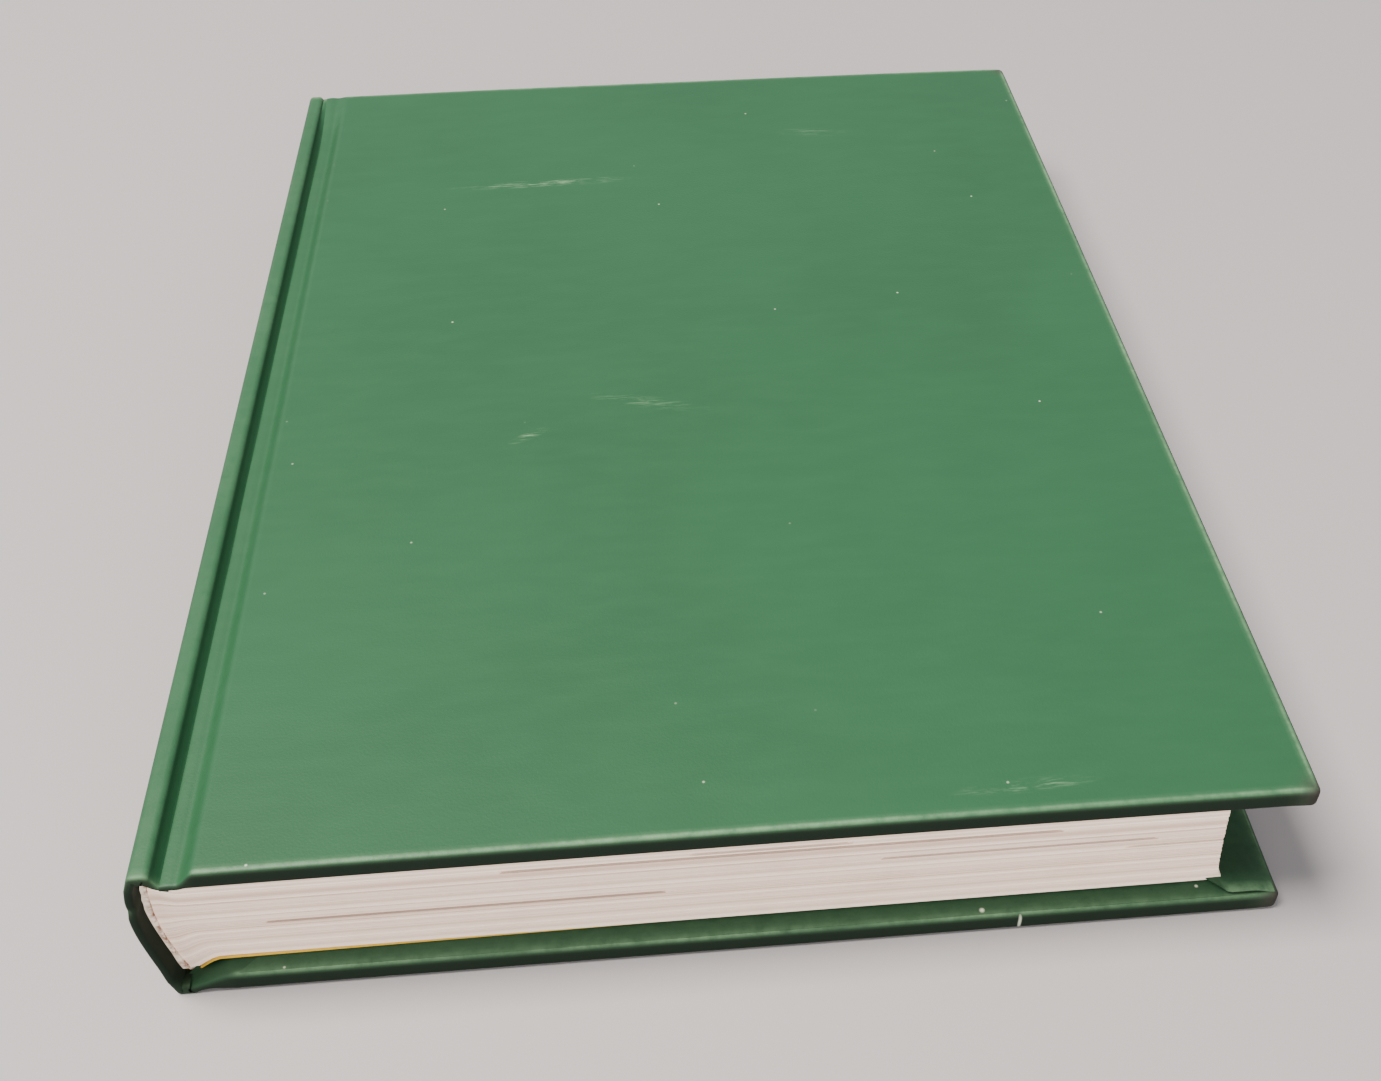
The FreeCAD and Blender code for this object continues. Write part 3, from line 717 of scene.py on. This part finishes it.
def section_tree():
    """The Geometry Nodes tree that makes one section's leaves."""
    tree = bpy.data.node_groups.new("section_leaves", "GeometryNodeTree")
    face = tree.interface
    face.new_socket("Geometry", in_out="OUTPUT", socket_type="NodeSocketGeometry")
    for name in SIZES:
        face.new_socket(name, in_out="INPUT", socket_type="NodeSocketFloat")
    for name in COUNTS:
        face.new_socket(name, in_out="INPUT", socket_type="NodeSocketInt")
    face.new_socket("Material", in_out="INPUT", socket_type="NodeSocketMaterial")
    given = tree.nodes.new("NodeGroupInput").outputs

    def maths(operation, *values):
        sockets = {"i%d" % i: v for i, v in enumerate(values)}
        return add_node(tree, "ShaderNodeMath", {"operation": operation}, **sockets).outputs[0]

    def dice(low, high, number, seed_step):
        node = add_node(tree, "FunctionNodeRandomValue", {"data_type": "FLOAT"})
        node.inputs[2].default_value, node.inputs[3].default_value = low, high
        tree.links.new(number, node.inputs["ID"])
        tree.links.new(maths("ADD", given["Seed"], seed_step), node.inputs["Seed"])
        return node.outputs[1]

    slab = add_node(tree, "GeometryNodeMeshCube", None, Size=(1, 1, 1), Vertices_Y=3,
                    Vertices_Z=2)
    tree.links.new(given["Columns"], slab.inputs["Vertices X"])
    places = add_node(tree, "GeometryNodeMeshLine", None, Count=given["Leaves"], Offset=(0, 0, 0))
    copies = add_node(tree, "GeometryNodeInstanceOnPoints", None, Points=places.outputs[0],
                      Instance=slab.outputs[0])
    number = tree.nodes.new("GeometryNodeInputIndex").outputs[0]
    settings = {"data_type": "FLOAT", "domain": "INSTANCE"}
    tagged = add_node(tree, "GeometryNodeStoreNamedAttribute", settings, Name="leaf",
                      Geometry=copies.outputs[0], Value=number)
    real = add_node(tree, "GeometryNodeRealizeInstances", None, Geometry=tagged.outputs[0])
    leaf = add_node(tree, "GeometryNodeInputNamedAttribute", {"data_type": "FLOAT"},
                    Name="leaf").outputs[0]
    here = tree.nodes.new("GeometryNodeInputPosition").outputs[0]
    unit = add_node(tree, "ShaderNodeSeparateXYZ", None, Vector=here).outputs

    # Height when flat: this leaf's share of its section, and the section's share of the block
    middle = maths("ADD", leaf, 0.5)
    within = maths("DIVIDE", maths("MULTIPLY_ADD", unit[2], 0.96, middle), given["Leaves"])
    share = maths("ADD", given["Section Share"], maths("DIVIDE", within, SECTION_COUNT))
    depth = maths("SUBTRACT", given["High Z"], given["Low Z"])
    flat_z = maths("MULTIPLY_ADD", share, depth, given["Low Z"])

    # Along the leaf: close columns near the spine, and a fore edge that leans
    along = maths("POWER", maths("ADD", unit[0], 0.5), 1.8)
    arch = maths("MULTIPLY", maths("MULTIPLY", share, maths("SUBTRACT", 1, share)), 4)
    back = maths("SUBTRACT", given["Back X"], maths("MULTIPLY", maths("SUBTRACT", arch, 1),
                                                     given["Back Bulge"]))
    lean = maths("MULTIPLY", maths("POWER", share, 0.45), given["Fore Lean"])
    ragged = maths("MULTIPLY", dice(-1, 1, leaf, 3), given["Ragged"])
    fore = maths("ADD", maths("SUBTRACT", given["Fore X"], lean), ragged)
    lip = maths("MAXIMUM", maths("MULTIPLY_ADD", share, -12, 1), 0)
    fore = maths("MULTIPLY_ADD", lip, given["Lip"], fore)
    x = maths("MULTIPLY_ADD", along, maths("SUBTRACT", fore, back), back)

    # Fan into the shoulder, over a longer run at the tail of the lower leaves
    tail = maths("LESS_THAN", unit[1], -0.25)
    lower = maths("MAXIMUM", maths("MULTIPLY_ADD", share, -2, 1), 0)
    longer = maths("MULTIPLY", maths("MULTIPLY", tail, lower), given["Tail Fan"])
    start = maths("SUBTRACT", maths("ADD", given["Fan Flat X"], longer), x)
    run = maths("DIVIDE", start, maths("ADD", given["Fan Length"], longer))
    fan = add_node(tree, "ShaderNodeMapRange", {"interpolation_type": "SMOOTHSTEP"}, Value=run)
    grow = maths("MULTIPLY_ADD", fan.outputs[0], maths("SUBTRACT", given["Fan Scale"], 1), 1)
    z = maths("MULTIPLY_ADD", maths("SUBTRACT", flat_z, given["Mid Z"]), grow, given["Mid Z"])

    # Across the leaf: every leaf a little out of line, and the short ones cut back at the tail
    shift = maths("MULTIPLY", dice(-1, 1, leaf, 7), maths("MULTIPLY", given["Ragged"], 0.8))
    bow = maths("MULTIPLY_ADD", maths("MULTIPLY", unit[1], unit[1]), -4, 1)
    row = maths("MULTIPLY_ADD", bow, given["Middle Row"], unit[1])
    y = maths("MULTIPLY_ADD", maths("MULTIPLY", row, 2), given["Half Height"], shift)
    short = maths("COMPARE", leaf, maths("ADD", given["Slit Leaf"], 1), SLIT_SPREAD)
    after = maths("GREATER_THAN", x, given["Slit From"])
    before = maths("LESS_THAN", x, given["Slit To"])
    cut = maths("MULTIPLY", maths("MULTIPLY", short, tail), maths("MULTIPLY", after, before))
    y = maths("MULTIPLY_ADD", cut, SLIT_DEPTH, y)
    spot = add_node(tree, "ShaderNodeCombineXYZ", None, X=x, Y=y, Z=z)
    placed = add_node(tree, "GeometryNodeSetPosition", None, Geometry=real.outputs[0],
                      Position=spot.outputs[0])
    settings = {"data_type": "FLOAT", "domain": "POINT"}
    for name, value in (("tone", dice(0, 1, leaf, 19)), ("sheet", flat_z)):
        placed = add_node(tree, "GeometryNodeStoreNamedAttribute", settings, Name=name,
                          Geometry=placed.outputs[0], Value=value)
    finished = add_node(tree, "GeometryNodeSetMaterial", None, Geometry=placed.outputs[0],
                        Material=given["Material"])
    smooth = add_node(tree, "GeometryNodeSetShadeSmooth", None, Geometry=finished.outputs[0],
                      Shade_Smooth=False)
    last = tree.nodes.new("NodeGroupOutput")
    tree.links.new(smooth.outputs[0], last.inputs[0])
    return tree


SECTION_TREE = section_tree()
print("section tree has", len(SECTION_TREE.nodes), "nodes")


# %% Make the sections
SLITS = {4: (6, 0.10, 0.42), 6: (2, 0.86, 1.0), 7: (3, 0.64, 0.87), 9: (5, 0.30, 0.77),
         10: (1, 0.46, 0.60), 11: (6, 0.52, 0.66)}


def page_map(mesh):
    """A map named page, in metres from the bound tail corner, that leaves thin edges out."""
    corner = np.array([BOARD_X, -LEAF_HALF_Y])
    places = np.array([v.co[:2] for v in mesh.vertices]) - corner
    flat = np.array([abs(p.normal.z) > 0.5 for p in mesh.polygons])
    sizes = np.array([p.loop_total for p in mesh.polygons])
    loops = np.zeros(len(mesh.loops), int)
    mesh.loops.foreach_get("vertex_index", loops)
    on_page = np.repeat(flat, sizes)[:, None]
    values = np.where(on_page, places[loops], -1.0)
    mesh.uv_layers.new(name="page").data.foreach_set("uv", values.astype(np.float32).ravel())


def make_section(index):
    """One section's leaves as a plain mesh."""
    name = "section_%02d_leaves" % (index + 1)
    maker = new_object(name + "_maker", bpy.data.meshes.new(name))
    modifier = maker.modifiers.new("leaves", "NODES")
    modifier.node_group = SECTION_TREE
    values = dict(SIZES, **COUNTS)
    values.update({"Section Share": index / SECTION_COUNT, "Seed": index + 1, "Material": RULED})
    if index in SLITS:
        leaf, start, stop = SLITS[index]
        values["Slit Leaf"] = leaf
        values["Slit From"], values["Slit To"] = CORNER_X + start * WIDTH, CORNER_X + stop * WIDTH
    for item in SECTION_TREE.interface.items_tree:
        if item.in_out == "INPUT":
            modifier[item.identifier] = values[item.name]
    seen = maker.evaluated_get(bpy.context.evaluated_depsgraph_get())
    mesh = bpy.data.meshes.new_from_object(seen)
    bpy.data.objects.remove(maker)
    store(mesh, "rest_co", "FLOAT_VECTOR", [v.co for v in mesh.vertices], "vector")
    page_map(mesh)
    piece = new_object(name, mesh)
    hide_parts("section_%02d" % (index + 1))
    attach(piece, "text_block")
    return piece


sections = [make_section(index) for index in range(SECTION_COUNT)]
print(len(sections), "sections,", sum(len(s.data.polygons) for s in sections), "faces")

# %% [markdown]
# ## Leaves that turn
# The flyleaves, the title leaf and the first log leaves turn with the cover. Each is one thin
# sheet from the spine to the fore edge. It stays with the block up to the groove, and past it
# follows its own hinge, so the paper rolls over the shoulder as the book opens.

# %% Turning leaves
def fanned(x, y, flat_z):
    """Height at x, y of a sheet that lies flat at flat_z."""
    share = (flat_z - BLOCK_LOW_Z) / (BLOCK_HIGH_Z - BLOCK_LOW_Z)
    near = np.clip(1 - (y + LEAF_HALF_Y) / TAIL_FAN_REACH, 0, 1)
    longer = TAIL_FAN * near * max(0, 1 - 2 * share)
    rise = smooth_step((FAN_FLAT_X + longer - x) / (FAN_LENGTH + longer), 0, 1)
    return MID_Z + (flat_z - MID_Z) * (1 + (FAN_SCALE - 1) * rise)


def thin_sheet(name, xs, low_z, thickness, material, half_y, skew=0.0, tone=0.4):
    """A thin sheet over the columns xs. low_z gives its lower height, skew turns its tail edge."""
    ys = np.linspace(-1, 1, 31)
    x, side = np.meshgrid(xs, ys, indexing="ij")
    tail_skew = skew * ((x - xs[0]) / (xs[-1] - xs[0]) - 0.35)
    y = side * half_y + np.where(side < -0.99, tail_skew, 0)
    lower = np.stack([x, y, low_z(x, y)], -1)
    upper = lower + np.array([0, 0, thickness])
    points, faces = closed_sheet(upper, lower)
    piece = add_piece(name, points, faces, material)
    store(piece.data, "tone", "FLOAT", np.full(len(points), tone), "value")
    store(piece.data, "sheet", "FLOAT", points[:, 2], "value")
    page_map(piece.data)
    return piece


def leaf_columns(outer_x):
    """Columns of a leaf: close together where it bends, wide apart on the flat."""
    xs = spread(CORNER_X + 1.2 * MM, BOARD_X + 1.5 * MM, BEND_PITCH)
    return np.array(xs + spread(BOARD_X + 1.5 * MM, outer_x, 2 * FLAT_PITCH) + [outer_x])


def make_leaf(node, root, material, skew=0.0, tone=0.4, short=0.0):
    """One turning leaf, in place of its node and, where it has one of its own, its root."""
    low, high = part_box(node)
    thickness = high[2] - low[2]
    piece = thin_sheet(node + "_sheet", leaf_columns(high[0] - short),
                       lambda x, y: fanned(x, y, low[2]), thickness, material, LEAF_HALF_Y,
                       skew, tone)
    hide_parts(*([node] + root))
    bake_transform(piece)
    return piece


turning = [
    make_leaf("front_flyleaf", ["front_flyleaf_root"], ENDPAPER),
    make_leaf("back_flyleaf", ["back_flyleaf_root"], ENDPAPER,
              skew=1.6 * MM, short=2.0 * MM),
    make_leaf("title_leaf", ["leaf_roots"], PLAIN),
]
for number in range(1, 5):
    name = "log_leaf_%d" % number
    turning.append(make_leaf(name, [], RULED, tone=0.2 * number))
print("leaves that turn:", len(turning))

# %% [markdown]
# ## Endpapers on the boards
# Each endpaper is a folded sheet of yellow paper. Half of it is the flyleaf, and the other half
# is pasted over the board and the inner edges of the cloth. It crosses the joint, so it bends
# there as the cloth does. Over the board it lies level with the turned-in cloth round it.

# %% Pastedowns
PASTE_SHEET = 0.2 * MM
JOINT_PAPER_Z = leaf_high[2] + 0.12 * MM
paste_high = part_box("front_pastedown")[1]


def paste_height(x, y):
    """Lower face of the front pastedown: above the flyleaf in the joint, then on the board."""
    over_board = smooth_step(x, BOARD_X - 2 * MM, BOARD_X + 1 * MM)
    return JOINT_PAPER_Z + (INNER_Z + 0.02 * MM - JOINT_PAPER_Z) * over_board + 0 * y


def make_pastedown(side, flip):
    """The pasted half of an endpaper, from the joint to just over the turned-in cloth."""
    outer_x = paste_high[0] + 1 * MM
    xs = spread(FAN_FLAT_X, BOARD_X + 2 * MM, 0.5 * MM) + spread(BOARD_X + 2 * MM, outer_x, 9 * MM)
    piece = thin_sheet(side + "_pastedown_sheet", np.array(xs + [outer_x]), paste_height,
                       PASTE_SHEET, ENDPAPER, paste_high[1] + 1 * MM)
    if flip:
        mesh = piece.data
        for vertex in mesh.vertices:
            vertex.co.z = TOP_Z - vertex.co.z
        mesh.flip_normals()
        mesh.attributes["rest_co"].data.foreach_set(
            "vector", np.array([v.co for v in mesh.vertices], np.float32).ravel())
    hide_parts(side + "_pastedown")
    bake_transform(piece)
    return piece


make_pastedown("front", False)
make_pastedown("back", True)
print("pastedowns are", round((paste_high[0] - BOARD_X) / MM), "mm wide")

# %% [markdown]
# ## Turned-in cloth
# The cloth is folded in over the board's edges, head and tail first and the fore edge last,
# with its corners cut at 45 degrees. Each strip is its own piece, thinner than a millimetre.
# At one corner of the back cover the fore-edge strip has let go of the board and stands up.

# %% Turn-ins
TURN_IN = FORE_X - paste_high[0]
STRIP = 0.34 * MM
EDGE_INSET = 1.0 * MM
LIFT = 1.3 * MM
STRAIGHT_CUT = 9 * MM
LOOSE_REACH = 9 * MM
BELOW_BOARD = 0.36 * MM
TURN_WAVE, TURN_WAVE_LONG = 0.05 * MM, 50 * MM


def make_turn_in(name, side, start, stop, inward, lift, flip, seed, square=0.0):
    """A strip of turned-in cloth from start to stop along the rim. Its ends are cut at 45
    degrees, but for the first square metres, which are cut straight across."""
    start, stop, inward = (np.array(v, float) for v in (start, stop, inward))
    heading = (stop - start) / np.linalg.norm(stop - start)
    start = start + (heading + inward) * EDGE_INSET
    stop = stop + (inward - heading) * EDGE_INSET
    length = np.linalg.norm(stop - start)
    along, across = np.meshgrid(np.linspace(0, 1, 121), np.linspace(0, 1, 15), indexing="ij")
    inset = across * (TURN_IN - EDGE_INSET)
    cut = np.maximum(inset - square, 0)
    travel = along * (length - 2 * cut) + cut
    place = start + heading * travel[..., None] + inward * inset[..., None]
    wave = TURN_WAVE * ripple(place[..., 0], place[..., 1], seed, TURN_WAVE_LONG)
    z = INNER_Z + BELOW_BOARD + wave
    loose = close_to(travel, LOOSE_REACH) * smooth_step(across, -0.1, 0.35)
    z = z - lift * loose
    raised = STRIP * smooth_step(1 - across, 0, 0.12)
    lower = np.concatenate([place, (z - raised)[..., None]], -1)
    upper = np.concatenate([place, (z + 0.05 * MM)[..., None]], -1)
    turns = heading[0] * inward[1] - heading[1] * inward[0]
    points, faces = closed_sheet(upper, lower, bool(turns < 0) != flip)
    if flip:
        points = turned_over(points)
    piece = add_piece(name, points, faces, CLOTH)
    # Rubbed along the fold, a painted highlight along the end of the lifted flap, and painted
    # shade all over the strip.
    rim = close_to(travel, 0.5 * MM) * (lift > 0)
    wear_and_highlight = 0.06 + 0.2 * close_to(across, 0.06) + 0.5 * rim
    none, turn_in_shade = np.zeros(wear_and_highlight.size), np.full(wear_and_highlight.size, INNER_PAINTED_SHADE)
    store_cloth(piece.data, (wear_and_highlight, wear_and_highlight), (none, none), (turn_in_shade, turn_in_shade))
    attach(piece, side + "_cover")
    return piece


for side, flip in (("front", False), ("back", True)):
    tail_fore, head_fore = (FORE_X, -HALF_Y), (FORE_X, HALF_Y)
    tail_spine, head_spine = (BOARD_X, -HALF_Y), (BOARD_X, HALF_Y)
    make_turn_in(side + "_tail_turn_in", side, tail_fore, tail_spine, (0, 1), 0, flip, 31)
    make_turn_in(side + "_head_turn_in", side, head_fore, head_spine, (0, -1), 0, flip, 32)
    make_turn_in(side + "_fore_turn_in", side, tail_fore, head_fore, (-1, 0),
                 LIFT if flip else 0, flip, 33, STRAIGHT_CUT)
print("turn-ins", round(TURN_IN / MM), "mm wide")

# %% [markdown]
# ## Linings on the back of the block
# The backs of the sections are glued, covered with open cotton mull and lined with paper. From
# the tail this shows as one pale band, with old brown glue along it and a loose tip below.

# %% Back lining
lining_low, lining_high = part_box("lining_paper")


def glued_lining():
    """White lining with a stain of old animal glue against the leaves."""
    material, tree, shader = new_material("mull_lining_with_glue", 0.8, "E6DCCB")
    place = rest_place(tree)
    stain = add_node(tree, "ShaderNodeAttribute", {"attribute_name": "stain"}).outputs["Fac"]
    flecks = noise(tree, place, 1.6 * MM, 4.0, 0.7)
    dirty = math_node(tree, "MULTIPLY", stain, ramp(tree, flecks, 0.4, 0.6))
    colour = mix(tree, dirty, linear("E8DCCB"), linear("7A4A2C"))
    tree.links.new(colour, shader.inputs["Base Color"])
    add_bump(tree, shader, flecks, 0.2 * MM, 0.6)
    return material


LINING_FACE = 2.7 * MM
LINING_FOOT = SIZES["Low Z"] - 2.6 * MM


def make_lining():
    """The pale band between the leaves and the inside of the spine."""
    t = np.linspace(0, 1, 41)
    z = LINING_FOOT + t * (TOP_Z - 2 * LINING_FOOT)
    ys = np.linspace(-LEAF_HALF_Y - 0.5 * MM, LEAF_HALF_Y + 0.3 * MM, 60)
    share, y = np.meshgrid(t, ys, indexing="ij")
    height = z[:, None] + 0 * y
    offset = np.sqrt(spine_radius ** 2 - (height - MID_Z) ** 2)
    inner = spine_centre - offset + LINING_FACE
    thick = (0.9 + 1.0 * (1 - share) ** 2) * MM
    ragged = 0.12 * MM * ripple(height * 6, y, 41, 20 * MM)
    outer = inner - thick + ragged
    upper = np.stack([outer, y, height], -1)
    lower = np.stack([inner + 0.1 * MM, y, height], -1)
    points, faces = closed_sheet(upper, lower)
    piece = add_piece("back_lining_band", points, faces, glued_lining())
    stain = np.concatenate([np.zeros(share.size), np.ones(share.size)])
    store(piece.data, "stain", "FLOAT", stain, "value")
    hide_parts("lining_paper", "mull")
    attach(piece, "text_block")
    return piece


make_lining()
print("lining", round((lining_high[2] - lining_low[2]) / MM, 1), "mm tall")

# %% [markdown]
# ## Pieces that stay inside
# The boards, the tapes, the thread and the mull's flaps keep their frame shapes, because they
# are hidden or plain. They still get what they are made of: grey board pressed from fibre,
# woven linen, waxed thread and open cotton.

# %% Materials for the frame's own pieces
def fibre(name, light, dark, size, roughness):
    """A plain fibrous material on the object's own coordinates."""
    material, tree, shader = new_material(name, roughness, light)
    place = add_node(tree, "ShaderNodeTexCoord").outputs["Object"]
    threads = noise(tree, place, size, 4.0, 0.7)
    shade = ramp(tree, threads, 0.3, 0.7)
    tree.links.new(mix(tree, shade, linear(light), linear(dark)), shader.inputs["Base Color"])
    add_bump(tree, shader, threads, 0.1 * MM, 0.6)
    return material


inside = {
    fibre("grey_binders_board", "9B958A", "7F786C", 1.0 * MM, 0.9): ["front_board", "back_board"],
    fibre("linen_tape", "D8CDB2", "B9AB8C", 0.5 * MM, 0.9): ["sewing_tapes"],
    fibre("waxed_linen_thread", "E2D9C2", "C2B798", 0.3 * MM, 0.6): ["sewing_thread"],
    fibre("cotton_mull", "E4DECD", "C5BDA6", 0.8 * MM, 0.9): ["front_mull_flange",
                                                             "back_mull_flange"],
}
for material, names in inside.items():
    for name in names:
        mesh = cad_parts[name].data
        mesh.materials.clear()
        mesh.materials.append(material)
print(sum(len(names) for names in inside.values()), "frame pieces kept")

# %% [markdown]
# ## Floor, light and camera
# A pale floor and soft light from the upper left show the cloth's broad gloss. The camera looks
# down over the tail edge, a little from the spine side.

# %% Floor
def make_floor():
    """A plain pale floor."""
    mesh = bpy.data.meshes.new("floor")
    reach = 6.0
    corners = [(-reach, -reach, 0), (reach, -reach, 0), (reach, reach, 0), (-reach, reach, 0)]
    mesh.from_pydata(corners, [], [(0, 1, 2, 3)])
    mesh.materials.append(new_material("pale_paper_floor", 0.7, "828082")[0])
    new_object("floor", mesh)


make_floor()


# %% Lights
def area_light(name, place, aim, size, power, colour):
    """A soft square light at place, aimed at aim."""
    light = bpy.data.lights.new(name, "AREA")
    light.size, light.energy = size, power
    light.color = linear(colour)[:3]
    lamp = new_object(name, light)
    lamp.location = place
    direction = [a - p for a, p in zip(aim, place)]
    lamp.rotation_euler = Vector(direction).to_track_quat("-Z", "Y").to_euler()


world = bpy.data.worlds.new("studio")
world.use_nodes = True
sky = world.node_tree.nodes["Background"].inputs
sky["Color"].default_value = linear("EDEFF5")
sky["Strength"].default_value = 0.75
bpy.context.scene.world = world
area_light("key", (-0.95, -0.10, 2.20), (0, 0, 0), 1.0, 228, "FFF6EC")
area_light("fill", (0.2, -1.1, 0.45), (0, 0, 0), 0.9, 16, "FFF4EC")

# %% Camera
camera_data = bpy.data.cameras.new("camera")
camera_data.lens, camera_data.sensor_width = 40.59, 36
camera_data.shift_x, camera_data.shift_y = -0.0392, -0.0206
camera = new_object("camera", camera_data)
AZIMUTH, ELEVATION = -5.07, 42.92
CAMERA_FROM_CORNER = (0.4377, -0.7603, 1.2527)
camera.location = (CORNER_X + CAMERA_FROM_CORNER[0] * WIDTH,
                   -HALF_Y + CAMERA_FROM_CORNER[1] * WIDTH, CAMERA_FROM_CORNER[2] * WIDTH)
camera.rotation_euler = (math.radians(90 - ELEVATION), 0, math.radians(AZIMUTH))
camera_data.clip_start = 0.01
bpy.context.scene.camera = camera
print("camera stands", [round(c / MM) for c in camera.location], "mm")
